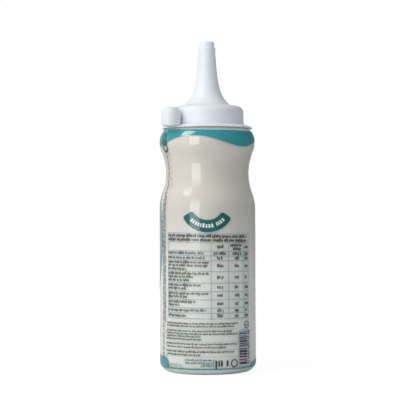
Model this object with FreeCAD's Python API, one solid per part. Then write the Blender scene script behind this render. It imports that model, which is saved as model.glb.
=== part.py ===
import FreeCAD, Part
import math
import os

from FreeCAD import Vector

# A squeeze bottle of salad dressing, standing upright: a clear waisted bottle in a printed shrink sleeve, the
# dressing in it, a white closure with a long closed nozzle, and a small white cap parked beside the nozzle.
# Millimetres. +Z is up, the origin is under the bottle's axis on the surface it stands on, and the sleeve's
# back label faces -Y.

# Bottle, outside surface.
BODY_R = 26.32            # lower, straight part of the body
HEEL_R = 5.75             # rounded edge between the body and the foot
WAIST_Z = 108.3           # height of the narrowest ring of the grip
WAIST_IN = 3.59           # how far the waist is drawn in from the body
BULGE_OUT = 3.46          # how far the bulge under the shoulder stands out from the waist
GRIP_LOW_R = 24.35        # the grip's four tangent arcs, from the body up to the bulge
HOLLOW_LOW_R = 30.25
HOLLOW_HIGH_R = 31.7
GRIP_HIGH_R = 13.85
SHOULDER_R = 9.6          # arc from the bulge in to the ledge
SHOULDER_RISE = 7.5       # height of the ledge over the bulge
BOTTLE_WALL = 0.7
FOOT_RING = 2.0           # width of the flat ring that the bottle stands on
PUSH_UP = 3.0             # height of the hollow under the foot

# Neck, under the closure.
NECK_R = 17.6
NECK_WALL = 1.4
NECK_H = 10.2             # from the ledge up to the rim
BEAD_OUT = 0.8            # snap bead round the neck
BEAD_H = 2.0
BEAD_FLAT = 0.6
BEAD_UP = 5.0             # height of the bead's middle over the ledge

# Dressing.
FILL_UP = 4.0             # its level over the ledge, inside the neck
FILL_GAP = 0.1            # between the dressing and the wall

# Shrink sleeve.
SLEEVE_T = 0.15
SLEEVE_GAP = 0.03         # between the film and the bottle
SLEEVE_FOOT_Z = 3.0       # lower edge, on the heel
SLEEVE_BELOW_LEDGE = 1.4  # upper edge at the axis, under the ledge
SLEEVE_LEAN_X = -0.0205   # slope of the upper edge, which was put on a little crooked
SLEEVE_LEAN_Y = 0.0165

# Closure: skirt, flange and nozzle in one piece.
SEAT_GAP = 0.25           # between the closure's underside and the ledge
SKIRT_GAP = 0.3           # between the neck's bead and the skirt
SKIRT_WALL = 1.5
SKIRT_DRAFT = 0.35        # the skirt is this much slimmer at its top
RIM_GAP = 0.3             # between the neck's rim and the closure's ceiling
TOP_T = 2.4               # from the ceiling to the nozzle's root
TOP_SLOPE = 10.0          # degrees that the top falls from the nozzle's root outwards
SHOULDER_ROUND = 3.3      # rounded edge between the top and the skirt
CEILING_ROUND = 1.5
SNAP_IN = 0.5             # bead inside the skirt that catches under the neck's bead
SNAP_H = 1.6
SNAP_FLAT = 0.4
SNAP_GAP = 0.5            # height between the two beads
PLUG_T = 1.0              # ring that plugs the neck's bore
PLUG_H = 3.0
PLUG_GAP = 0.2
LIP_GAP = 1.33            # between the drip flange's lip and the bottle's shoulder
FLANGE_ROOT_T = 1.65
FLANGE_FALL = 1.75        # from the flange's root down to its rim
FLANGE_ROUND = 9.95       # radius of the flange's domed top, seen in section
LIP_T = 0.8
LIP_DROP = 0.45           # how far the lip hangs below the closure's underside
LIP_ROUND = 0.3

# Nozzle.
ROOT_R = 12.5             # where the flare springs from the top
FLARE_H = 26.5            # from the root up to the collar
FLARE_TOP_R = 4.9
FLARE_TOP_LEAN = 2.2      # degrees off upright at the top of the flare
FLARE_TOP_HOLD = 0.88     # share of the flare's height that keeps to that lean
FLARE_ROOT_LEAN = 34.0    # degrees off upright at the root
FLARE_ROOT_HOLD = 0.126
COLLAR_R = 4.68
COLLAR_H = 5.1
TIP_R = 4.07
TIP_H = 3.3
TIP_ROUND = 1.1
COLLAR_ROUND = 0.35
NOZZLE_WALL = 1.3
TIP_WALL = 1.2

# Cap for the opened nozzle, parked on a peg on the flange.
CAP_R = 5.1
CAP_H = 9.9
CAP_ROUND = 3.4
CAP_BORE_GAP = 0.08       # between the cap's bore and the nozzle's tip that it is pushed on to
CAP_CROWN_T = 1.8
CAP_FROM_FRONT = 49.7     # degrees from the back label's middle, round towards -X
CAP_SKIRT_GAP = 0.15
SEAT_T = 0.6              # flange left under the flat seat of the cap
SEAT_ROUND_GAP = 0.1
PEG_GAP = 0.15            # between the peg and the cap's bore
PEG_H = 5.0
PEG_CHAMFER = 0.6

# Making, not the object: how far a ring is sunk into the wall it is joined to, and a cut runs past a face.
LAP = 0.4
PAST = 1.0

# Worked out from the sizes above.
WAIST_R = BODY_R - WAIST_IN
BULGE_R = WAIST_R + BULGE_OUT
LOW_BEND = math.acos(1 - WAIST_IN / (GRIP_LOW_R + HOLLOW_LOW_R))
HIGH_BEND = math.acos(1 - BULGE_OUT / (GRIP_HIGH_R + HOLLOW_HIGH_R))
BODY_TOP_Z = WAIST_Z - (GRIP_LOW_R + HOLLOW_LOW_R) * math.sin(LOW_BEND)
BULGE_Z = WAIST_Z + (GRIP_HIGH_R + HOLLOW_HIGH_R) * math.sin(HIGH_BEND)
LEDGE_Z = BULGE_Z + SHOULDER_RISE
BORE_R = NECK_R - NECK_WALL
NECK_TOP_Z = LEDGE_Z + NECK_H
BEAD_Z = LEDGE_Z + BEAD_UP
FILL_Z = LEDGE_Z + FILL_UP

SKIRT_IN_R = NECK_R + BEAD_OUT + SKIRT_GAP
SKIRT_R = SKIRT_IN_R + SKIRT_WALL
SKIRT_TOP_R = SKIRT_R - SKIRT_DRAFT
UNDERSIDE_Z = LEDGE_Z + SEAT_GAP
LIP_Z = UNDERSIDE_Z - LIP_DROP
LIP_IN_R = BULGE_R - SHOULDER_R + math.sqrt(SHOULDER_R ** 2 - (LIP_Z - BULGE_Z) ** 2) + LIP_GAP
FLANGE_R = LIP_IN_R + LIP_T
FLANGE_ROOT_Z = UNDERSIDE_Z + FLANGE_ROOT_T
CEILING_Z = NECK_TOP_Z + RIM_GAP
ROOT_Z = CEILING_Z + TOP_T
FLARE_TOP_Z = ROOT_Z + FLARE_H
COLLAR_TOP_Z = FLARE_TOP_Z + COLLAR_H
TIP_Z = COLLAR_TOP_Z + TIP_H

CAP_BORE_R = TIP_R + CAP_BORE_GAP
CAP_OUT = SKIRT_R + CAP_SKIRT_GAP + CAP_R
CAP_X = -CAP_OUT * math.sin(math.radians(CAP_FROM_FRONT))
CAP_Y = -CAP_OUT * math.cos(math.radians(CAP_FROM_FRONT))
SEAT_Z = UNDERSIDE_Z + SEAT_T


def point(r, z):
    return Vector(r, 0, z)


def line(start, end):
    return Part.makeLine(point(*start), point(*end))


def arc(centre, radius, first, last):
    """Edge of a circle in the section plane, from one angle to another, in degrees from straight outwards."""
    on = [(centre[0] + radius * math.cos(math.radians(a)), centre[1] + radius * math.sin(math.radians(a)))
          for a in (first, (first + last) / 2, last)]
    return Part.Arc(*[point(*p) for p in on]).toShape()


def chain(*corners):
    """Straight edges from corner to corner."""
    return [line(a, b) for a, b in zip(corners, corners[1:])]


def end_of(edge):
    """Section place (r, z) where an edge that was drawn forwards ends."""
    last = edge.valueAt(edge.LastParameter)
    return (last.x, last.z)


def turn(edges):
    """Solid of revolution about Z whose section is the closed loop of edges."""
    loop = Part.Wire(Part.__sortEdges__(edges))
    return Part.Face(loop).revolve(Vector(0, 0, 0), Vector(0, 0, 1), 360)


def ring_edges(shape, radius, z):
    """Edges of a turned shape that are circles of this radius at this height."""
    near = 1e-4
    return [e for e in shape.Edges if isinstance(e.Curve, Part.Circle)
            and abs(e.Curve.Radius - radius) < near and abs(e.Curve.Center.z - z) < near]


def vessel(grow, mouth_r, top_z):
    """The bottle's body as a full solid, moved out by grow from its outside surface, with a round mouth."""
    dome_r = ((BODY_R - HEEL_R - FOOT_RING) ** 2 + PUSH_UP ** 2) / (2 * PUSH_UP)
    dome_centre = (0, PUSH_UP - dome_r)
    foot_z = -grow
    dome_edge = 90 - math.degrees(math.acos((foot_z - dome_centre[1]) / (dome_r - grow)))
    heel_centre = (BODY_R - HEEL_R, HEEL_R)
    shoulder_centre = (BULGE_R - SHOULDER_R, BULGE_Z)
    ledge = math.degrees(math.asin((SHOULDER_RISE + grow) / (SHOULDER_R + grow)))
    low, high = math.degrees(LOW_BEND), math.degrees(HIGH_BEND)

    dome = arc(dome_centre, dome_r - grow, 90, dome_edge)
    heel = arc(heel_centre, HEEL_R + grow, -90, 0)
    shoulder = arc(shoulder_centre, SHOULDER_R + grow, 0, ledge)
    ledge_end = end_of(shoulder)
    return turn([
        dome,
        line(end_of(dome), (heel_centre[0], foot_z)),
        heel,
        line((BODY_R + grow, HEEL_R), (BODY_R + grow, BODY_TOP_Z)),
        arc((BODY_R - GRIP_LOW_R, BODY_TOP_Z), GRIP_LOW_R + grow, 0, low),
        arc((WAIST_R + HOLLOW_LOW_R, WAIST_Z), HOLLOW_LOW_R - grow, 180 + low, 180),
        arc((WAIST_R + HOLLOW_HIGH_R, WAIST_Z), HOLLOW_HIGH_R - grow, 180, 180 - high),
        arc((BULGE_R - GRIP_HIGH_R, BULGE_Z), GRIP_HIGH_R + grow, -high, 0),
        shoulder,
        *chain(ledge_end, (mouth_r, ledge_end[1]), (mouth_r, top_z), (0, top_z), (0, PUSH_UP - grow)),
    ])


def bead(wall_r, out, z, height, flat):
    """Ring round the axis that stands out from a wall, or into it where out is negative."""
    root_r = wall_r - math.copysign(LAP, out)
    return turn(chain((root_r, z - height / 2), (wall_r, z - height / 2), (wall_r + out, z - flat / 2),
                      (wall_r + out, z + flat / 2), (wall_r, z + height / 2), (root_r, z + height / 2),
                      (root_r, z - height / 2)))


def bottle():
    outside = vessel(0, NECK_R, NECK_TOP_Z)
    inside = vessel(-BOTTLE_WALL, BORE_R, NECK_TOP_Z + PAST)
    return outside.fuse(bead(NECK_R, BEAD_OUT, BEAD_Z, BEAD_H, BEAD_FLAT)).cut(inside)


def dressing():
    return vessel(-BOTTLE_WALL - FILL_GAP, BORE_R - FILL_GAP, FILL_Z)


def sleeve():
    film = vessel(SLEEVE_GAP + SLEEVE_T, NECK_R, NECK_TOP_Z).cut(vessel(SLEEVE_GAP, NECK_R, NECK_TOP_Z))
    reach = 2 * BULGE_R + 2 * BODY_R
    above = Part.makeBox(2 * reach, 2 * reach, reach, Vector(-reach, -reach, 0))
    above.rotate(Vector(0, 0, 0), Vector(1, 0, 0), math.degrees(math.atan(SLEEVE_LEAN_Y)))
    above.rotate(Vector(0, 0, 0), Vector(0, 1, 0), -math.degrees(math.atan(SLEEVE_LEAN_X)))
    above.translate(Vector(0, 0, LEDGE_Z - SLEEVE_BELOW_LEDGE))
    below = Part.makeBox(2 * reach, 2 * reach, reach, Vector(-reach, -reach, SLEEVE_FOOT_Z - reach))
    return film.cut(above).cut(below)


def flare(top_r, root_r, root_z):
    """Curve of the nozzle's side, from its collar down to its root."""
    height = FLARE_TOP_Z - root_z
    top_lean, root_lean = math.radians(FLARE_TOP_LEAN), math.radians(FLARE_ROOT_LEAN)
    top_hold, root_hold = height * FLARE_TOP_HOLD, height * FLARE_ROOT_HOLD
    curve = Part.BezierCurve()
    curve.setPoles([
        point(top_r, FLARE_TOP_Z),
        point(top_r + top_hold * math.sin(top_lean), FLARE_TOP_Z - top_hold * math.cos(top_lean)),
        point(root_r - root_hold * math.sin(root_lean), root_z + root_hold * math.cos(root_lean)),
        point(root_r, root_z),
    ])
    return curve.toShape()


def flange_top():
    """Domed upper side of the drip flange, from the skirt out to the lip."""
    root, rim = (SKIRT_R, FLANGE_ROOT_Z), (FLANGE_R, FLANGE_ROOT_Z - FLANGE_FALL)
    half = (Vector(*rim, 0) - Vector(*root, 0)) * 0.5
    across = math.sqrt(FLANGE_ROUND ** 2 - half.Length ** 2)
    inward = Vector(half.y, -half.x, 0).normalize() * across
    centre = (root[0] + half.x + inward.x, root[1] + half.y + inward.y)
    angles = [math.degrees(math.atan2(p[1] - centre[1], p[0] - centre[0])) for p in (root, rim)]
    return arc(centre, FLANGE_ROUND, *angles)


def closure_outside():
    corner_z = ROOT_Z - (SKIRT_TOP_R - ROOT_R) * math.tan(math.radians(TOP_SLOPE))
    solid = turn([
        *chain((0, TIP_Z), (TIP_R, TIP_Z), (TIP_R, COLLAR_TOP_Z), (COLLAR_R, COLLAR_TOP_Z),
               (COLLAR_R, FLARE_TOP_Z), (FLARE_TOP_R, FLARE_TOP_Z)),
        flare(FLARE_TOP_R, ROOT_R, ROOT_Z),
        *chain((ROOT_R, ROOT_Z), (SKIRT_TOP_R, corner_z), (SKIRT_R, FLANGE_ROOT_Z)),
        flange_top(),
        *chain((FLANGE_R, FLANGE_ROOT_Z - FLANGE_FALL), (FLANGE_R, LIP_Z), (LIP_IN_R, LIP_Z),
               (LIP_IN_R, UNDERSIDE_Z), (0, UNDERSIDE_Z), (0, TIP_Z)),
    ])
    solid = solid.makeFillet(SHOULDER_ROUND, ring_edges(solid, SKIRT_TOP_R, corner_z))
    solid = solid.makeFillet(TIP_ROUND, ring_edges(solid, TIP_R, TIP_Z))
    solid = solid.makeFillet(COLLAR_ROUND, ring_edges(solid, COLLAR_R, COLLAR_TOP_Z))
    return solid.makeFillet(LIP_ROUND, ring_edges(solid, FLANGE_R, LIP_Z))


def closure_inside():
    mouth_z = UNDERSIDE_Z - PAST
    throat_r = ROOT_R - NOZZLE_WALL
    bore_r = FLARE_TOP_R - NOZZLE_WALL
    solid = turn([
        *chain((0, mouth_z), (SKIRT_IN_R, mouth_z), (SKIRT_IN_R, CEILING_Z), (throat_r, CEILING_Z)),
        flare(bore_r, throat_r, CEILING_Z),
        *chain((bore_r, FLARE_TOP_Z), (TIP_R - NOZZLE_WALL, COLLAR_TOP_Z), (TIP_R - NOZZLE_WALL, TIP_Z - TIP_WALL),
               (0, TIP_Z - TIP_WALL), (0, mouth_z)),
    ])
    return solid.makeFillet(CEILING_ROUND, ring_edges(solid, SKIRT_IN_R, CEILING_Z))


def plug():
    """Ring that hangs from the closure's ceiling into the neck."""
    out_r = BORE_R - PLUG_GAP
    in_r = out_r - PLUG_T
    return turn(chain((in_r, CEILING_Z + LAP), (out_r, CEILING_Z + LAP), (out_r, CEILING_Z - PLUG_H),
                      (in_r, CEILING_Z - PLUG_H), (in_r, CEILING_Z + LAP)))


def peg():
    """Round peg on the flange that the small cap is parked on."""
    peg_r = CAP_BORE_R - PEG_GAP
    solid = Part.makeCylinder(peg_r, LAP + PEG_H, Vector(CAP_X, CAP_Y, SEAT_Z - LAP))
    return solid.makeChamfer(PEG_CHAMFER, ring_edges(solid, peg_r, SEAT_Z + PEG_H))


def closure():
    snap_z = BEAD_Z - (BEAD_FLAT + SNAP_FLAT) / 2 - SNAP_GAP
    seat = Part.makeCylinder(CAP_R + SEAT_ROUND_GAP, CAP_H, Vector(CAP_X, CAP_Y, SEAT_Z))
    body = closure_outside().cut(closure_inside()).cut(seat)
    return body.fuse([bead(SKIRT_IN_R, -SNAP_IN, snap_z, SNAP_H, SNAP_FLAT), plug(), peg()]).removeSplitter()


def tip_cap():
    outside = Part.makeCylinder(CAP_R, CAP_H)
    outside = outside.makeFillet(CAP_ROUND, ring_edges(outside, CAP_R, CAP_H))
    cap = outside.cut(Part.makeCylinder(CAP_BORE_R, CAP_H - CAP_CROWN_T))
    cap.translate(Vector(CAP_X, CAP_Y, SEAT_Z))
    return cap


os.makedirs("parts", exist_ok=True)
NODES = {"bottle": bottle, "dressing": dressing, "sleeve": sleeve, "closure": closure, "tip_cap": tip_cap}
for name, make in NODES.items():
    shape = make()
    assert shape.isValid() and len(shape.Solids) == 1, name
    shape.Solids[0].exportStep(f"parts/{name}.step")
    print(f"{name}: {shape.Volume / 1000:.2f} cm3, top {shape.BoundBox.ZMax:.2f}, bottom {shape.BoundBox.ZMin:.2f}")
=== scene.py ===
import math
import random

import bmesh
import bpy
import numpy as np
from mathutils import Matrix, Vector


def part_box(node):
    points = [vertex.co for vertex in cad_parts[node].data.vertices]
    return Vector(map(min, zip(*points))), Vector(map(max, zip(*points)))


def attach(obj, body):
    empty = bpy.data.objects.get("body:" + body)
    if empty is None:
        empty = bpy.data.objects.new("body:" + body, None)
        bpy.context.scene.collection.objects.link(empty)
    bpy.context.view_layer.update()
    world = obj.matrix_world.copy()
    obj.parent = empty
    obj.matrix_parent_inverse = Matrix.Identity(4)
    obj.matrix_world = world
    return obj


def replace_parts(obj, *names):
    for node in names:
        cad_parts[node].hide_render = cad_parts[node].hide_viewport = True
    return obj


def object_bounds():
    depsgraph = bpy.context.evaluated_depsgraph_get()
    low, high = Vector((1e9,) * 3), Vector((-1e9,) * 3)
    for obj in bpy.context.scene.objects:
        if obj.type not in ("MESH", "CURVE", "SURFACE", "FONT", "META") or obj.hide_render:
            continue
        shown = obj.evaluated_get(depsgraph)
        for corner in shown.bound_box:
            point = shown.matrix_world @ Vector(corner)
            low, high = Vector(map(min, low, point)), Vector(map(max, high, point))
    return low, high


# Looks of a squeeze bottle of pale salad dressing: what fills it, its clear wall, the printed shrink
# sleeve and the white closure, with plain studio light and the camera. Places are in metres, in the
# frame's axes: the back label faces -Y. The print's own sizes are in millimetres, and its places on the
# film are s, the way round the body to the right of the back label's middle, and z, the height.

MM = 0.001

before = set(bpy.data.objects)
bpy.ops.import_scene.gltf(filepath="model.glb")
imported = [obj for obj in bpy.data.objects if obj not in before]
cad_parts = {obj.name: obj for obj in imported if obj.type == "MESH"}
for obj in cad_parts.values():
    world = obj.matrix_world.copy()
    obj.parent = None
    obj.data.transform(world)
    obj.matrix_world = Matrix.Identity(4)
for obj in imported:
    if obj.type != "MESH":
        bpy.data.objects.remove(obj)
cad_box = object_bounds()

# What fills the bottle.
FILL_SINK = 0.45 * MM       # how far it is grown, to reach into the bottle's wall
FILL_WELD = 0.001 * MM      # corners nearer than this become one before it is grown
FILL_CREASE = 40            # degrees
# Painted light: the dressing's colour changes with height to stand in for light and shade. It is paler and
# cooler low down, darkest and warmest near mid-height, and painted much brighter at the very top, where the
# closure's flange shades it.
FILL_PAINTED_LIGHT = (              # height, colour there
    (50 * MM, (0.815, 0.805, 0.76)),
    (92 * MM, (0.705, 0.661, 0.595)),
    (122 * MM, (0.77, 0.72, 0.648)),
    (127.5 * MM, (0.77, 0.72, 0.648)),
    (129 * MM, (0.95, 0.91, 0.81)),
)

# Film and print, as depths under the outside of the sleeve's solid. The back of each layer lies a little
# under the face that it is printed on.
FILM_DEPTH = 0.082 * MM
FILM_T = 0.085 * MM
INK_DEPTH = 0.056 * MM              # print straight on the film
OVERPRINT_DEPTH = 0.034 * MM        # print that crosses other print
STROKES_DEPTH = 0.016 * MM          # pale strokes on the hanging arc
INK_T = 0.03 * MM
PRINT_STEP = 0.8 * MM               # longest side of a print patch's faces, so that it follows the film
FILM_CUTS, PRINT_CUTS = 240, 300    # columns of faces round the whole body

# The film's gloss: duller the lower it is between the first two heights, and where it leans back under
# the waist.
FILM_DULL_Z, FILM_BRIGHT_Z = 50 * MM, 88 * MM
FILM_DULL_BLUR = 0.3                # roughness that is added at the lower height
FILM_DULL_SHARE = 0.06              # share of the mirroring that is kept there
LOWER_LEAN_Z = (112 * MM, 120 * MM)     # heights between which the lean's dullness fades out
LEAN_NORMAL = (0.08, 0.2)           # upward part of the normal where that starts, and where it is full
LEAN_SHARE = 0.27                   # share of the mirroring that is kept on the lean

# Camera and light.
CAMERA_AWAY = 763.8 * MM
CAMERA_UP = 87.3 * MM
CAMERA_ASIDE = 0.27 * MM
CAMERA_PITCH = 0.165        # degrees
CAMERA_ROLL = 0.24
CAMERA_LENS = 120.0         # millimetres, on a sensor 36 wide
SOFTBOXES = {               # degrees round from the camera's side and up, metres, radiance
    "low_softbox": dict(azimuth=-30, elevation=7, away=0.45, size=(0.19, 0.33), radiance=2.7),
    "high_softbox": dict(azimuth=-58, elevation=44, away=0.80, size=(0.32, 0.40), radiance=6.9),
}
WHITE = (1, 1, 1, 1)
AMBIENT = (0.465, 0.485, 0.51)
ROOM_LEFT, ROOM_RIGHT = 0.5, 0.12   # grey of the room that the bottle's sides mirror
ROOM_UP = 0.4                       # share of that grey overhead
ROOM_SIDES = (-0.6, 0.6)            # X of a direction where it is as on the left, and as on the right
ROOM_OVERHEAD = (0.2, 0.8)          # Z of one where it starts to darken, and where it is as overhead
ROOM_BEHIND = (0.93, 0.98)          # Y of one where it starts to turn white, and where it is white
FLOOR_HALF = 0.3
FLOOR_FADE = (0.4, 0.9)             # shares of that half where its fading starts and ends
FLOOR_GLOW, FLOOR_SHADE = 0.9, 0.18     # for the camera: light that it gives, share that it throws back
FLOOR_UNSEEN = 0.7                  # share that it throws back onto the bottle


# ---------------------------------------------------------------- the sleeve's outline, read from the frame

def read_rings(node, step, outward_from=0.3):
    """Height and radius of the rings of corners on the outside of a turned node, at least step apart."""
    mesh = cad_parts[node].data
    places, normals = np.empty(3 * len(mesh.vertices)), np.empty(3 * len(mesh.vertices))
    mesh.vertices.foreach_get("co", places)
    mesh.vertices.foreach_get("normal", normals)
    places, normals = places.reshape(-1, 3), normals.reshape(-1, 3)
    radii = np.hypot(places[:, 0], places[:, 1])
    outward = (normals[:, :2] * places[:, :2]).sum(1) / radii
    rings = []
    for i in np.argsort(places[:, 2]):
        if outward[i] > outward_from and (not rings or places[i, 2] > rings[-1][0] + step):
            rings.append((places[i, 2], radii[i]))
    return np.array(rings).T


def read_top_edge(node, reach=3 * MM, level_from=0.95):
    """Plane z = a + b x + c y of a node's cut upper edge, as (a, b, c)."""
    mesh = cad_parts[node].data
    near_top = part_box(node)[1].z - reach
    level = [f for f in mesh.polygons if f.normal.z > level_from and f.center.z > near_top]
    places = np.array([mesh.vertices[v].co for f in level for v in f.vertices])
    plane, *_ = np.linalg.lstsq(np.c_[np.ones(len(places)), places[:, :2]], places[:, 2], rcond=None)
    return plane


RING_Z, RING_R = read_rings("sleeve", 0.3 * MM)
STRAIGHT = np.argmax(np.diff(RING_Z))       # the body's straight wall is the longest span between rings
RING_SLOPE = np.gradient(RING_R, RING_Z)
RING_SLOPE[STRAIGHT:STRAIGHT + 2] = 0
TOP_EDGE = read_top_edge("sleeve")
FOOT_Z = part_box("sleeve")[0].z
BODY_R = RING_R[STRAIGHT]
GIRTH = 2 * math.pi * BODY_R


def film_radius(z):
    """Radius of the sleeve's outside at a height: between rings, the cubic that is tangent to it at both."""
    i = np.clip(np.searchsorted(RING_Z, z) - 1, 0, len(RING_Z) - 2)
    h = RING_Z[i + 1] - RING_Z[i]
    t = (z - RING_Z[i]) / h
    return ((1 + 2 * t) * (1 - t) ** 2 * RING_R[i] + t * (1 - t) ** 2 * h * RING_SLOPE[i]
            + t * t * (3 - 2 * t) * RING_R[i + 1] + t * t * (t - 1) * h * RING_SLOPE[i + 1])


def on_film(s, z, depth):
    """Points at s round the body and height z, at a depth under the sleeve's outside."""
    r = film_radius(z) - depth
    return np.stack([r * np.sin(s / BODY_R), -r * np.cos(s / BODY_R), z], axis=-1)


def top_edge_z(s, rounds=6):
    """Height of the film's upper edge. The radius there depends on it, so each round brings it nearer."""
    z = np.full(np.shape(s), TOP_EDGE[0])
    for _ in range(rounds):
        r = film_radius(z)
        z = TOP_EDGE[0] + TOP_EDGE[1] * r * np.sin(s / BODY_R) - TOP_EDGE[2] * r * np.cos(s / BODY_R)
    return z


# ---------------------------------------------------------------- meshes

def add_piece(name, mesh, crease=30):
    """Object of a mesh, smooth except across creases, which are in degrees."""
    mesh.polygons.foreach_set("use_smooth", [True] * len(mesh.polygons))
    mesh.set_sharp_from_angle(angle=math.radians(crease))
    piece = bpy.data.objects.new(name, mesh)
    bpy.context.scene.collection.objects.link(piece)
    return piece


def new_piece(name, points, faces):
    """Object made of points, and faces that number them."""
    mesh = bpy.data.meshes.new(name)
    mesh.from_pydata(points, [], faces)
    return add_piece(name, mesh)


class Shells:
    """Thin closed solids, each over a grid of places on the film, gathered into one mesh."""

    def __init__(self, depth=INK_DEPTH, thickness=INK_T):
        self.depths = (depth, depth + thickness)
        self.points = []
        self.faces = []

    def grid(self, s, z, round_trip=False):
        """Rows run upwards and columns to the right. round_trip joins the last column to the first."""
        s, z = np.broadcast_arrays(s, z)
        first = sum(map(len, self.points))
        self.points.extend(on_film(s, z, depth).reshape(-1, 3) for depth in self.depths)
        at = first + np.arange(s.size).reshape(s.shape)
        if round_trip:
            at = np.c_[at, at[:, :1]]
        outside = np.stack([at[:-1, :-1], at[:-1, 1:], at[1:, 1:], at[1:, :-1]], axis=-1).reshape(-1, 4)
        borders = [at[0, ::-1], at[-1]] + ([] if round_trip else [at[:, 0], at[::-1, -1]])
        edges = [np.c_[line[:-1], line[1:], line[1:] + s.size, line[:-1] + s.size] for line in borders]
        self.faces.extend([outside, outside[:, ::-1] + s.size, *edges])

    def between(self, s, low, high, rows, round_trip=False):
        """The field between two edges, given as heights at each of the places s."""
        share = np.linspace(0, 1, rows)[:, None]
        self.grid(s[None, :], low + (high - low) * share, round_trip)

    def piece(self, name, material):
        """One object of all the solids, with the material that is given."""
        made = new_piece(name, np.concatenate(self.points).tolist(), np.concatenate(self.faces).tolist())
        made.data.materials.append(material)
        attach(made, "root")
        return made


# ---------------------------------------------------------------- materials

NOISE_SPAN = (0.3, 0.7)     # nearly all of a noise's values lie between these


class Shader:
    """A material or world made of nodes. A value is a number, a colour or another node's output."""

    def __init__(self, owner):
        self.owner = owner
        owner.use_nodes = True
        self.tree = owner.node_tree
        self.tree.nodes.clear()

    def add(self, kind, sockets=None, **settings):
        """Adds a node, with a value for each of the sockets named or numbered."""
        node = self.tree.nodes.new("ShaderNode" + kind)
        for key, value in settings.items():
            setattr(node, key, value)
        for key, value in (sockets or {}).items():
            if isinstance(value, bpy.types.NodeSocket):
                self.tree.links.new(value, node.inputs[key])
            else:
                node.inputs[key].default_value = value
        return node

    def parts(self, vector):
        """The X, Y and Z of a vector, by name."""
        return self.add("SeparateXYZ", {"Vector": vector}).outputs

    def place(self):
        """The place on the piece, in its own space."""
        return self.add("TexCoord").outputs["Object"]

    def calc(self, operation, first, second, **settings):
        """Arithmetic on two values."""
        return self.add("Math", {0: first, 1: second}, operation=operation, **settings).outputs["Value"]

    def scaled(self, value, start, end, low, high):
        """low where the value is start or less, high where it is end or more, and straight between."""
        sockets = {"Value": value, "From Min": start, "From Max": end, "To Min": low, "To Max": high}
        return self.add("MapRange", sockets).outputs["Result"]

    def noise(self, size, detail=2.0, stretch=(1, 1, 1)):
        """Soft noise of about that size, in object space."""
        scaled = self.add("Mapping", {"Vector": self.place(), "Scale": stretch}).outputs["Vector"]
        return self.add("TexNoise", {"Vector": scaled, "Scale": 1 / size, "Detail": detail}).outputs["Fac"]

    def spread(self, noise, low, high):
        """From low to high, as the noise goes."""
        return self.scaled(noise, *NOISE_SPAN, low, high)

    def tones(self, noise, colour, share):
        """The colour, darker and lighter by a share as the noise goes."""
        ramp = self.add("ValToRGB", {"Fac": noise})
        for stop, place, level in zip(ramp.color_ramp.elements, NOISE_SPAN, (1 - share, 1 + share)):
            stop.position = place
            stop.color = (*[min(1, c * level) for c in colour], 1)
        return ramp.outputs["Color"]

    def bump(self, noise, height):
        """The normal of a surface that the noise raises by up to a height."""
        return self.add("Bump", {"Height": noise, "Distance": height, "Strength": 1.0}).outputs["Normal"]

    def ripple(self, height):
        """The film's faint ripple, longer up the bottle than round it."""
        return self.bump(self.noise(size=12 * MM, detail=1, stretch=(1, 1, 0.35)), height)

    def rays(self, first, second):
        """1 for rays of two kinds, such as Camera and Shadow, and 0 for all others."""
        path = self.add("LightPath").outputs
        return self.calc("MAXIMUM", path[f"Is {first} Ray"], path[f"Is {second} Ray"])

    def seen(self):
        """1 for what the camera sees, straight or through clear plastic, and 0 for all other light."""
        return self.rays("Camera", "Transmission")

    def surface(self, sockets):
        """A principled surface."""
        return self.add("BsdfPrincipled", sockets).outputs["BSDF"]

    def background(self, colour, strength):
        """Plain light from all around."""
        return self.add("Background", {"Color": colour, "Strength": strength}).outputs["Background"]

    def mix(self, share, first, second):
        """Two shaders in one, where the share is the second's."""
        return self.add("MixShader", {"Fac": share, 1: first, 2: second}).outputs["Shader"]

    def finish(self, shader):
        """Ends the material or world with a shader, and returns it."""
        kind = "OutputWorld" if isinstance(self.owner, bpy.types.World) else "OutputMaterial"
        self.add(kind, {"Surface": shader})
        return self.owner


INKS = {
    "ink_teal": (0.033, 0.318, 0.35),
    "ink_sky": (0.21, 0.43, 0.50),
    "ink_dark_teal": (0.013, 0.125, 0.115),
    "ink_light_blue": (0.33, 0.52, 0.55),
    "ink_black": (0.022, 0.024, 0.026),
    "ink_grey": (0.11, 0.12, 0.12),
    "ink_small_teal": (0.040, 0.26, 0.27),
    "ink_white": (0.78, 0.80, 0.80),
    "ink_pale": (0.49, 0.55, 0.59),
}


def ink(name):
    """Glossy print: its tone varies a little, as ink density does, and it shares the film's faint ripple."""
    shader = Shader(bpy.data.materials.new(name))
    tone = shader.tones(shader.noise(size=3.5 * MM, detail=4), INKS[name], share=0.05)
    gloss = shader.spread(shader.noise(size=9 * MM), low=0.05, high=0.08)
    ripple = shader.ripple(height=0.003 * MM)
    return shader.finish(shader.surface({
        "Base Color": tone, "Roughness": gloss, "IOR": 1.62, "Normal": ripple}))


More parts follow.
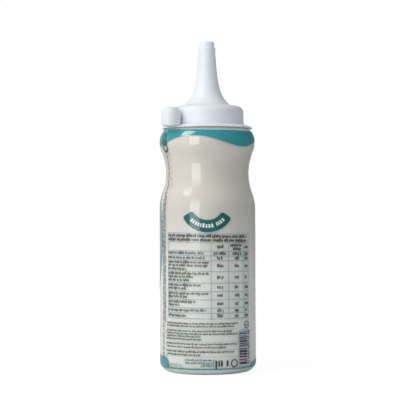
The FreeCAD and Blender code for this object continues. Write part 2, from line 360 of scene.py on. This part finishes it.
def clear_film():
    """Shrink film: clear, with gloss on its outside only, and less of it low down and under the waist."""
    shader = Shader(bpy.data.materials.new("clear_film"))
    ripple = shader.ripple(height=0.006 * MM)
    height = shader.parts(shader.place())["Z"]
    bright = shader.scaled(height, FILM_DULL_Z, FILM_BRIGHT_Z, 0.0, 1.0)

    blur = shader.scaled(bright, 0.0, 1.0, FILM_DULL_BLUR, 0.0)
    gloss = shader.calc("ADD", shader.spread(shader.noise(size=9 * MM), low=0.09, high=0.13), blur)
    shine = shader.add("BsdfAnisotropic", {"Color": WHITE, "Roughness": gloss, "Normal": ripple})
    clear = shader.add("BsdfTransparent", {"Color": WHITE})

    kept = shader.scaled(bright, 0.0, 1.0, FILM_DULL_SHARE, 1.0)
    lean = shader.parts(shader.add("NewGeometry").outputs["Normal"])["Z"]
    lower_lean = shader.calc("MULTIPLY", lean, shader.scaled(height, *LOWER_LEAN_Z, 1.0, 0.0))
    kept_on_lean = shader.scaled(lower_lean, *LEAN_NORMAL, 1.0, LEAN_SHARE)
    mirroring = shader.calc("MULTIPLY", kept, kept_on_lean)
    inside = shader.add("NewGeometry").outputs["Backfacing"]
    outside = shader.calc("SUBTRACT", mirroring, inside, use_clamp=True)
    fresnel = shader.add("Fresnel", {"IOR": 1.66, "Normal": ripple}).outputs["Fac"]
    share = shader.calc("MULTIPLY", fresnel, outside)
    return shader.finish(shader.mix(share, clear.outputs["BSDF"], shine.outputs["BSDF"]))


def clear_plastic():
    """Bottle wall: clear, with a faint mirroring of its own, and hardly any shadow on what it holds."""
    shader = Shader(bpy.data.materials.new("clear_wall"))
    gloss = shader.spread(shader.noise(size=6 * MM), low=0.03, high=0.06)
    wall = shader.surface({"Base Color": (0.97, 0.985, 0.98, 1), "Roughness": gloss, "IOR": 1.1,
                           "Transmission Weight": 1.0})
    clear = shader.add("BsdfTransparent", {"Color": (0.985, 0.99, 0.985, 1)})
    return shader.finish(shader.mix(shader.rays("Shadow", "Diffuse"), wall, clear.outputs["BSDF"]))


def creamy_dressing():
    """Pale dressing, with light and shade painted into its colour by height: warmer and a little darker from
    mid-height up, and palest at its top, a painted brightening where the closure's flange shades it.
    """
    shader = Shader(bpy.data.materials.new("creamy_dressing"))
    top = FILL_PAINTED_LIGHT[-1][0]
    share = shader.calc("DIVIDE", shader.parts(shader.place())["Z"], top)
    # Painted light: this ramp's colours by height stand in for light and shade on the dressing.
    painted_light = shader.add("ValToRGB", {"Fac": share})
    stops = painted_light.color_ramp.elements
    while len(stops) < len(FILL_PAINTED_LIGHT):
        stops.new(1.0)
    for stop, (z, colour) in zip(stops, FILL_PAINTED_LIGHT):
        stop.position = z / top
        stop.color = (*colour, 1)
    mottle = shader.tones(shader.noise(size=14 * MM, detail=5), (0.98, 0.98, 0.98), share=0.02)
    tone = shader.add("MixRGB", {"Fac": 1.0, "Color1": painted_light.outputs["Color"], "Color2": mottle},
                      blend_type="MULTIPLY").outputs["Color"]
    gloss = shader.spread(shader.noise(size=4 * MM), low=0.35, high=0.5)
    uneven = shader.bump(shader.noise(size=5 * MM), height=0.03 * MM)
    return shader.finish(shader.surface({
        "Base Color": tone, "Roughness": gloss, "IOR": 1.2, "Normal": uneven, "Subsurface Weight": 0.7,
        "Subsurface Radius": (1.0, 0.9, 0.8), "Subsurface Scale": 3.0 * MM}))


def white_plastic():
    """Moulded white plastic: satin, very slightly cloudy."""
    shader = Shader(bpy.data.materials.new("satin_white"))
    tone = shader.tones(shader.noise(size=8 * MM, detail=3), (0.82, 0.856, 0.887), share=0.012)
    gloss = shader.spread(shader.noise(size=3 * MM, detail=3), low=0.40, high=0.48)
    grain = shader.bump(shader.noise(size=0.35 * MM), height=0.004 * MM)
    return shader.finish(shader.surface({
        "Base Color": tone, "Roughness": gloss, "IOR": 1.5, "Normal": grain, "Subsurface Weight": 0.6,
        "Subsurface Radius": (1.0, 1.0, 1.0), "Subsurface Scale": 2.5 * MM}))


# ---------------------------------------------------------------- what the bottle is made of

def fill_bottle():
    """The dressing, grown a little past the bottle's inside so that no gap shows; its level stays."""
    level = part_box("dressing")[1].z
    shape = bmesh.new()
    shape.from_mesh(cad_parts["dressing"].data)
    bmesh.ops.remove_doubles(shape, verts=shape.verts, dist=FILL_WELD)
    shape.normal_update()
    moved = [v.co + v.normal * FILL_SINK for v in shape.verts]
    for vertex, place in zip(shape.verts, moved):
        vertex.co = (place.x, place.y, min(place.z, level))
    mesh = bpy.data.meshes.new("dressing_fill")
    shape.to_mesh(mesh)
    shape.free()
    fill = add_piece("dressing_fill", mesh, FILL_CREASE)
    mesh.materials.append(creamy_dressing())
    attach(fill, "root")
    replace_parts(fill, "dressing")


LONG_SPAN = 5 * MM                  # a span between two rings that is as long is cut into more rows
LONG_CUTS, SHORT_CUTS = 8, 3
CROOKED_FROM = 110 * MM             # rows of the film tilt more and more from here up to its crooked edge


def wrap_film():
    """The shrink film, cut off along the sleeve's slightly crooked upper edge."""
    heights = [FOOT_Z]
    for low, high in zip(RING_Z, RING_Z[1:]):
        cuts = SHORT_CUTS if high - low < LONG_SPAN else LONG_CUTS
        heights.extend(np.linspace(low, high, cuts + 1)[1:])
    heights = np.array(heights)
    s = np.linspace(0, GIRTH, FILM_CUTS, endpoint=False)
    share = np.clip((heights - CROOKED_FROM) / (heights[-1] - CROOKED_FROM), 0, 1)[:, None]
    z = heights[:, None] + share * (top_edge_z(s) - heights[-1])[None, :]
    film = Shells(FILM_DEPTH, FILM_T)
    film.grid(s[None, :], z, round_trip=True)
    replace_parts(film.piece("film", clear_film()), "sleeve")


# ---------------------------------------------------------------- the print, in millimetres

WAVE_TURNS = (              # troughs and crests of the top field's edge: degrees round the body, height
    (-76, 123.5), (-20.5, 128.5), (47.5, 122.6), (104, 127.6), (160, 122.8), (222, 128.0), (284, 123.5))
WAVE_CREST = 1.2            # above 1 the crests are broader than the troughs
TOP_MARGIN = 0.05           # from the top field to the film's edge
BASE_LINE_Z = (3.1, 3.8)
BAND_FROM, BAND_TO = 28.4, -25.2    # the tall base band runs round the front, from the right to the left
BAND_Z = (6.0, 8.8)                 # height of its two ends
BAND_SWELL, BAND_SWELLS = 0.9, 3    # how much higher it swells between them, and how often
BAND_LAP = 0.02                     # how far it overlaps the base line
BAND_CORNER = 2.4

ARC_MIDDLE = (-0.1, 92.45)
ARC_RADII = (9.4, 15.85)
ARC_FROM, ARC_TO = -60.8, 57.8      # degrees from straight down
ARC_CORNER = 1.3
ARC_WORDS = dict(length=19.5, height=2.6, weight=1.25)      # the strokes along it
ARC_RISES = (1.0, 1.0, 1.35)        # how far they reach over its middle line, and how far under it
ARC_DROP = 1.0

LABEL_LEFT = -24.8
LABEL_MARGIN = 0.3
COLUMNS = (1.75, 11.6, 22.0, 25.8)
LABEL_TOP = 75.76
TITLE_H, HEAD_H = 4.72, 4.62
ROWS = (                    # height, lengths of the lines of words, lengths of what the columns hold
    (2.48, (22.2,), (7.0, 5.6, 2.4)),
    (2.5, (23,), (3.2, 2.6, 2.2)),
    (5.79, (25, 24.1, 12.5), (3.4, 2.8, 2.3)),
    (6.2, (24.6, 16.8, 14.5), (3.2, 2.6, 2.2)),
    (4.46, (20.7, 12.8), (3.3, 2.7, 2.3)),
    (4.38, (25, 12.6), (3.1, 2.7, 2.2)),
    (4.48, (17.6, 8), (3.3, 2.6, 2.3)),
    (2.72, (23,), (3.2, 2.8, 2.3)),
    (3.0, (11.8,), (3.0, 2.8, 2.2)),
)
LINE_W = 0.32
LEAN_FROM, LEAN_TO = (30.4, -0.0057), (75.8, -0.0234)     # height, slope of the label's lines
WORD_H = 1.05               # height of small letters would be this; no lettering is drawn
WORD_PITCH = 1.78
TITLE_DROPS = (1.95, 4.05)  # from the label's top to the foot of its two lines
TITLE_LENGTH, TITLE_WORD_H, TITLE_WEIGHT = 48.5, 1.2, 1.35
HEAD_WORDS = (              # start, length, foot over the middle of the head, height
    (5.0, 3.4, -0.6, 1.35), (12.7, 7.4, 0.4, 1.15), (14.2, 5.0, -1.6, 1.15), (22.6, 2.2, -0.5, 1.15))
HEAD_WEIGHT = 1.3
ENTRY_DROP, ENTRY_H, ENTRY_WEIGHT = 0.6, 1.25, 1.05     # what the columns hold

NOTES_LEFT = -26.2
NOTES = (                   # height, length of each line
    (27.4, 43.4), (25.9, 40.8), (23.4, 39.6), (21.9, 43.3), (20.5, 22.1),
    (18.95, 22.4), (16.45, 42.8), (14.75, 35.8), (12.35, 40.8), (10.65, 21.8))
NOTE_H, NOTE_WEIGHT = 0.72, 1.15
RULES = (24.94, 18.14, 13.73, 10.17)
RULES_RIGHT = 17.4
RULE_W = LINE_W / 3
LAST_WORDS = (-24.4, 9.6, 4.6, 1.2)         # pale strokes at the foot: start, length, foot and height
TEAL_WORDS = ((-12.9, 16.1, 7.9), (-12.9, 16.1, 6.3), (-4.0, 7.2, 5.0))     # start, length and foot
TEAL_WORD_H, TEAL_WEIGHT = 0.85, 1.2

STRIPES_SIDES = (18.4, 24.7)                # plain dark stripes on a pale panel
STRIPES_Z = (5.6, 23.4)
STRIPE_WIDTHS = (0.33, 0.33, 0.66, 1.0, 1.3)
STRIPE_GAPS = (0.33, 0.33, 0.66)
STRIPES_WORDS_S, STRIPES_WORD_H = 26.4, 1.2         # words up the side of the stripes
PANEL = (18.2, 27.0, 4.4, 23.9)             # left and right side, lower and upper end
BLOCK = (3.9, 7.6, 5.0, 3.2)                # bold upright strokes: start, length, foot and height
SEAL = ((14.9, 6.4), (1.6, 2.2))            # plain ring beside them
ROUND_MARK = ((24.24, 26.57), (1.75, 2.1))
MARK_WORDS = (-1.2, 2.2, -0.5, 0.9)         # in it, from its middle: start, length, foot and height

SIDE_COLUMNS = ((-29.7, 8.0, 110.8), (-27.7, 28.0, 67.0))       # words up the side: place, start, length
SIDE_WORD_H = 1.25
DASHES = (-26.45, 100.8, 3.27, 6)           # place, first height, pitch and number, along the perforation
LOW_DASHES = (-27.0, 9.0, 3.27, 5)
DASH_H = 1.4
SEAM = (-25.0, 125.2, 130.7)                # place, lower and upper end
SEAM_W = 0.14
TAB_S = -28.8
TAB_ARC_Z, TAB_ARC_RADII = 122.2, (1.6, 2.7)
TAB_BARS = (                # left and right side from TAB_S, lower and upper end
    (-2.7, -1.6, 122.18, 123.3), (1.6, 2.7, 122.18, 123.3), (-2.6, 2.4, 123.28, 126.5),
    (-2.6, -0.8, 126.48, 128.7), (0.5, 2.3, 126.48, 128.7), (-2.2, 2.0, 128.68, 130.2))
FIELD_MIDDLE, FIELD_R = (-78.0, 73.5), 46.0             # round field on the front
FRONT_ARC_SHIFT, FRONT_ARC_RADII = (-5, 12), (22, 32)   # the arc on it, from the field's middle
FRONT_ARC_TURN = 66                                     # degrees to both sides of straight down
FRONT_ARC_CORNER = 2.4

# Strokes that stand for lettering. Widths, gaps, heights and drops are shares of a line's height.
STROKE_W = (0.2, 0.34)
STROKE_GAP = (0.17, 0.27)
WORD_GAP = 0.45
WORD_STROKES = (3, 9)       # fewest and most of them in a word
STROKE_TALL = (1.0, 1.0, 1.0, 1.4)
STROKE_DROP = (0.0, 0.0, 0.0, 0.0, 0.35)


def lean(z):
    """Slope of the label's level lines at a height: the sleeve shrank a little crooked."""
    return np.interp(z, (LEAN_FROM[0] * MM, LEAN_TO[0] * MM), (LEAN_FROM[1], LEAN_TO[1]))


def bar(shells, left, right, low, high, leaning=True):
    """Upright rectangle on the film."""
    columns = 2 + int(abs(right - left) * MM / PRINT_STEP)
    rows = 2 + int(abs(high - low) * MM / PRINT_STEP)
    s = np.linspace(left, right, columns)[None, :] * MM
    z = np.linspace(low, high, rows)[:, None] * MM
    shells.grid(s, z + lean(z) * s if leaning else z)


def strokes(start, length, height, dice, weight=1.0):
    """Places and widths of the strokes of a line of print, in words, with no lettering in it."""
    at = start
    word = dice.randint(*WORD_STROKES)
    while at < start + length:
        width = height * dice.uniform(*STROKE_W) * weight
        yield at, width
        at += width + height * dice.uniform(*STROKE_GAP)
        word -= 1
        if word == 0:
            at += height * WORD_GAP
            word = dice.randint(*WORD_STROKES)


def words(shells, start, length, base, height, dice, weight=1.0, upright=False):
    """A line of print of small upright strokes. upright: it runs up the film from start."""
    for at, width in strokes(start, length, height, dice, weight):
        tall = height * dice.choice(STROKE_TALL)
        drop = height * dice.choice(STROKE_DROP)
        if upright:
            bar(shells, base - tall, base + drop, at, at + width)
        else:
            bar(shells, at, at + width, base - drop, base + tall)


def places_round(middle, r, angles):
    """Places at distances and angles from a middle. Angle 0 is straight down."""
    return (middle[0] + r * np.sin(angles)) * MM, (middle[1] - r * np.cos(angles)) * MM


def ring(shells, middle, radii, cuts=40):
    """Plain ring."""
    angles = np.linspace(0, 2 * math.pi, cuts, endpoint=False)
    shells.grid(*places_round(middle, np.array(radii)[::-1, None], angles), round_trip=True)


def disc(shells, middle, radius, cuts=60):
    """Round field, as a square grid bent to a circle."""
    across, up = np.meshgrid(np.linspace(-1, 1, cuts), np.linspace(-1, 1, cuts))
    shells.grid((middle[0] + radius * across * np.sqrt(1 - up ** 2 / 2)) * MM,
                (middle[1] + radius * up * np.sqrt(1 - across ** 2 / 2)) * MM)


def wave_edge(s):
    """Height of the top field's wavy lower edge."""
    angles = np.degrees(s / BODY_R)
    first = WAVE_TURNS[0][0]
    angles = (angles - first) % 360 + first
    turns = np.array(WAVE_TURNS)
    i = np.clip(np.searchsorted(turns[:, 0], angles, side="right") - 1, 0, len(turns) - 2)
    t = (angles - turns[i, 0]) / (turns[i + 1, 0] - turns[i, 0])
    here, there = turns[i, 1], turns[i + 1, 1]
    rising = there > here
    crest, trough = np.maximum(here, there), np.minimum(here, there)
    fall = (0.5 - 0.5 * np.cos(math.pi * np.where(rising, 1 - t, t))) ** WAVE_CREST
    return (crest - (crest - trough) * fall) * MM


def rounded(d, corner):
    """How much of the full width is lost at a distance d from a rounded end."""
    d = np.clip(d, 0, corner)
    return corner - np.sqrt(corner ** 2 - (corner - d) ** 2)


def places_along(start, end, corner, end_cuts, cuts):
    """Places from start to end, closer together over the two rounded ends."""
    return np.concatenate([np.linspace(start, start + corner, end_cuts),
                           np.linspace(start + corner, end - corner, cuts)[1:-1],
                           np.linspace(end - corner, end, end_cuts)])


def print_teal():
    """The top field with its wavy edge, the base line, and the tall base band round the front."""
    inks = Shells()
    s = np.linspace(0, GIRTH, PRINT_CUTS, endpoint=False)
    inks.between(s, wave_edge(s), top_edge_z(s) - TOP_MARGIN * MM, rows=12, round_trip=True)
    low, high = (np.full_like(s, z * MM) for z in BASE_LINE_Z)
    inks.between(s, low, high, rows=3, round_trip=True)
    length = GIRTH / MM + BAND_TO - BAND_FROM
    run = places_along(0, length, BAND_CORNER, end_cuts=9, cuts=150)
    foot = np.full_like(run, BASE_LINE_Z[1] * MM - BAND_LAP * MM)
    swell = BAND_SWELL * np.sin(run / length * BAND_SWELLS * math.pi) ** 2
    top = np.interp(run, (0, length), BAND_Z) + swell - rounded(np.minimum(run, length - run), BAND_CORNER)
    inks.between((BAND_FROM + run) * MM, foot, top * MM, rows=6)
    inks.piece("print_teal", ink("ink_teal"))


def arc_band(shells, middle, radii, start, end, corner=0.0, step=5, rows=9):
    """Part of a ring from one angle to another, in degrees. 0 is straight down."""
    mean, thick = (radii[0] + radii[1]) / 2, (radii[1] - radii[0]) / 2
    if corner:
        angles = places_along(start, end, math.degrees(corner / mean), end_cuts=8, cuts=48)
        ends = np.radians(np.minimum(angles - start, end - angles)) * mean
        width = thick - rounded(ends, corner)
    else:
        angles = np.linspace(start, end, 2 + int((end - start) / step))
        width = np.full_like(angles, thick)
    r = mean + np.linspace(1, -1, rows)[:, None] * width[None, :]
    shells.grid(*places_round(middle, r, np.radians(angles)))


def print_field():
    """The front's round field."""
    inks = Shells()
    disc(inks, FIELD_MIDDLE, FIELD_R)
    inks.piece("print_field", ink("ink_sky"))


def print_dark_teal():
    """The hanging arc, the like of it on the front's field, and the tab that the perforation ends in."""
    inks = Shells(OVERPRINT_DEPTH)
    arc_band(inks, ARC_MIDDLE, ARC_RADII, ARC_FROM, ARC_TO, ARC_CORNER)
    front_middle = (FIELD_MIDDLE[0] + FRONT_ARC_SHIFT[0], FIELD_MIDDLE[1] + FRONT_ARC_SHIFT[1])
    arc_band(inks, front_middle, FRONT_ARC_RADII, -FRONT_ARC_TURN, FRONT_ARC_TURN, FRONT_ARC_CORNER)
    arc_band(inks, (TAB_S, TAB_ARC_Z), TAB_ARC_RADII, -90, 90)
    for left, right, low, high in TAB_BARS:
        bar(inks, TAB_S + left, TAB_S + right, low, high, leaning=False)
    inks.piece("print_dark_teal", ink("ink_dark_teal"))


def label_levels():
    """Heights of the label's level lines, from its top down."""
    levels = [LABEL_TOP]
    for height in (TITLE_H, HEAD_H, *[row[0] for row in ROWS]):
        levels.append(levels[-1] - height)
    return levels


def print_lines():
    """The label's frame and table lines, the rules between the notes, the dashes and a few pale strokes."""
    inks = Shells()
    half = LINE_W / 2
    levels = label_levels()
    for level in levels:
        bar(inks, LABEL_LEFT, COLUMNS[-1], level - half, level + half)
    for column in COLUMNS:
        top = levels[0] if column == COLUMNS[-1] else levels[1]
        bar(inks, column - half, column + half, levels[-1], top)
    bar(inks, LABEL_LEFT - half, LABEL_LEFT + half, levels[-1], levels[0])
    for rule in RULES:
        bar(inks, NOTES_LEFT, RULES_RIGHT, rule - RULE_W / 2, rule + RULE_W / 2)
    for place, first, pitch, count in (DASHES, LOW_DASHES):
        for i in range(count):
            foot = first + pitch * i
            bar(inks, place - LINE_W, place + LINE_W, foot, foot + DASH_H)
    words(inks, *LAST_WORDS, random.Random(3))
    inks.piece("print_lines", ink("ink_light_blue"))


def print_stripes(inks, dice):
    """Stripes of uneven width, with words up their right side."""
    foot, top = STRIPES_Z
    at = foot
    while at < top:
        width = dice.choice(STRIPE_WIDTHS)
        bar(inks, *STRIPES_SIDES, at, min(at + width, top))
        at += width + dice.choice(STRIPE_GAPS)
    words(inks, foot, top - foot, STRIPES_WORDS_S, STRIPES_WORD_H, dice, upright=True)


def print_text():
    """Dark print: words as rows of plain strokes, stripes and rings."""
    dice = random.Random(7)
    inks = Shells(OVERPRINT_DEPTH)
    levels = label_levels()
    left = LABEL_LEFT + LABEL_MARGIN
    for drop in TITLE_DROPS:
        length = TITLE_LENGTH + dice.uniform(-1, 1)
        words(inks, left, length, levels[0] - drop, TITLE_WORD_H, dice, TITLE_WEIGHT)
    middle = levels[1] - HEAD_H / 2
    for start, length, rise, height in HEAD_WORDS:
        words(inks, start, length, middle + rise, height, dice, HEAD_WEIGHT)
    middles = [(a + b) / 2 for a, b in zip(COLUMNS, COLUMNS[1:])]
    for (height, lengths, entries), top in zip(ROWS, levels[2:]):
        first = top - height / 2 + WORD_PITCH * (len(lengths) - 1) / 2 - WORD_H / 2
        for i, length in enumerate(lengths):
            words(inks, left, length, first - WORD_PITCH * i, WORD_H, dice)
        for column, length in zip(middles, entries):
            foot = top - height / 2 - ENTRY_DROP
            words(inks, column - length / 2, length, foot, ENTRY_H, dice, ENTRY_WEIGHT)
    for base, length in NOTES:
        words(inks, NOTES_LEFT, length, base, NOTE_H, dice, NOTE_WEIGHT)
    words(inks, *BLOCK, dice)
    ring(inks, *SEAL)
    ring(inks, *ROUND_MARK)
    start, length, rise, height = MARK_WORDS
    words(inks, ROUND_MARK[0][0] + start, length, ROUND_MARK[0][1] + rise, height, dice)
    print_stripes(inks, dice)
    inks.piece("print_text", ink("ink_black"))


def print_side_words():
    """Words up the film beside the perforation."""
    dice = random.Random(11)
    inks = Shells(OVERPRINT_DEPTH)
    for base, start, length in SIDE_COLUMNS:
        words(inks, start, length, base, SIDE_WORD_H, dice, upright=True)
    inks.piece("print_side_words", ink("ink_grey"))


def print_small_teal():
    """Three short lines of words under the notes."""
    dice = random.Random(5)
    inks = Shells()
    for start, length, base in TEAL_WORDS:
        words(inks, start, length, base, TEAL_WORD_H, dice, TEAL_WEIGHT)
    inks.piece("print_small_teal", ink("ink_small_teal"))


def print_arc_strokes():
    """A row of plain strokes along the hanging arc."""
    dice = random.Random(2)
    inks = Shells(STROKES_DEPTH)
    mean = sum(ARC_RADII) / 2
    middle = ARC_WORDS["length"] / 2
    for at, width in strokes(start=0, dice=dice, **ARC_WORDS):
        start, end = (math.degrees((edge - middle) / mean) for edge in (at, at + width))
        arc_band(inks, ARC_MIDDLE, (mean - dice.choice(ARC_RISES), mean + ARC_DROP), start, end)
    inks.piece("print_strokes", ink("ink_white"))


def print_panel():
    """Panel behind the stripes, and the seam's pale line."""
    inks = Shells()
    bar(inks, *PANEL)
    bar(inks, SEAM[0] - SEAM_W / 2, SEAM[0] + SEAM_W / 2, *SEAM[1:], leaning=False)
    inks.piece("print_panel", ink("ink_pale"))


# ---------------------------------------------------------------- stage, light and camera

def lay_floor():
    """Pale table. It looks white and keeps the bottle's shadow, and fades into the white behind it."""
    half = FLOOR_HALF
    corners = [(-half, -half, 0), (half, -half, 0), (half, half, 0), (-half, half, 0)]
    floor = new_piece("floor", corners, [(0, 1, 2, 3)])
    shader = Shader(bpy.data.materials.new("floor"))
    glow = shader.add("Emission", {"Color": WHITE, "Strength": FLOOR_GLOW})
    shade = shader.add("BsdfDiffuse", {"Color": (FLOOR_SHADE, FLOOR_SHADE, FLOOR_SHADE, 1)})
    near = shader.add("AddShader", {0: glow.outputs["Emission"], 1: shade.outputs["BSDF"]})
    far = shader.add("Emission", {"Color": WHITE, "Strength": 1.0})
    away = shader.add("VectorMath", {0: shader.place()}, operation="LENGTH").outputs["Value"]
    faded = shader.scaled(away, FLOOR_FADE[0] * half, FLOOR_FADE[1] * half, 0.0, 1.0)
    white = shader.mix(faded, near.outputs["Shader"], far.outputs["Emission"])
    unseen = shader.add("BsdfDiffuse", {"Color": (FLOOR_UNSEEN, FLOOR_UNSEEN, FLOOR_UNSEEN, 1)})
    floor.data.materials.append(shader.finish(shader.mix(shader.seen(), unseen.outputs["BSDF"], white)))


def light_world():
    """White behind the bottle, whose sides mirror a grey room that is darker on the right and overhead."""
    world = bpy.data.worlds.new("studio")
    bpy.context.scene.world = world
    shader = Shader(world)
    aim = shader.parts(shader.add("TexCoord").outputs["Generated"])
    side = shader.scaled(aim["X"], *ROOM_SIDES, ROOM_LEFT, ROOM_RIGHT)
    behind = shader.scaled(aim["Y"], *ROOM_BEHIND, 0.0, 1.0)
    overhead = shader.scaled(aim["Z"], *ROOM_OVERHEAD, 1.0, ROOM_UP)
    grey = shader.calc("MULTIPLY", side, overhead)
    level = shader.add("Mix", {"Factor": behind, "A": grey, "B": 1.0}).outputs["Result"]
    ambient = shader.background((*AMBIENT, 1), 1.0)
    room = shader.background(WHITE, level)
    mirrored = shader.mix(shader.add("LightPath").outputs["Is Glossy Ray"], ambient, room)
    shader.finish(shader.mix(shader.seen(), mirrored, shader.background(WHITE, 1.0)))


def add_softbox(name, azimuth, elevation, away, size, radiance):
    """Lamp that faces the bottle's middle and isn't seen by the camera."""
    light = bpy.data.lights.new(name, "AREA")
    light.shape = "RECTANGLE"
    light.size, light.size_y = size
    light.energy = math.pi * size[0] * size[1] * radiance
    lamp = bpy.data.objects.new(name, light)
    turn, rise = math.radians(azimuth), math.radians(elevation)
    middle = (cad_box[0].z + cad_box[1].z) / 2
    lamp.location = (away * math.cos(rise) * math.sin(turn), -away * math.cos(rise) * math.cos(turn),
                     middle + away * math.sin(rise))
    lamp.rotation_euler = (math.radians(90) - rise, 0, turn)
    lamp.visible_camera = False
    bpy.context.scene.collection.objects.link(lamp)


def add_camera():
    """Camera in front of the back label."""
    data = bpy.data.cameras.new("camera")
    data.lens = CAMERA_LENS
    camera = bpy.data.objects.new("camera", data)
    camera.location = (CAMERA_ASIDE, -CAMERA_AWAY, CAMERA_UP)
    camera.rotation_euler = (math.radians(90 + CAMERA_PITCH), math.radians(CAMERA_ROLL), 0)
    bpy.context.scene.collection.objects.link(camera)
    bpy.context.scene.camera = camera


bpy.context.scene.view_settings.view_transform = "Standard"
add_camera()
light_world()
lay_floor()
for name, softbox in SOFTBOXES.items():
    add_softbox(name, **softbox)

fill_bottle()
wrap_film()
print_teal()
print_field()
print_dark_teal()
print_lines()
print_text()
print_side_words()
print_small_teal()
print_arc_strokes()
print_panel()
for name, finish in (("bottle", clear_plastic), ("closure", white_plastic), ("tip_cap", white_plastic)):
    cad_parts[name].material_slots[0].material = finish()
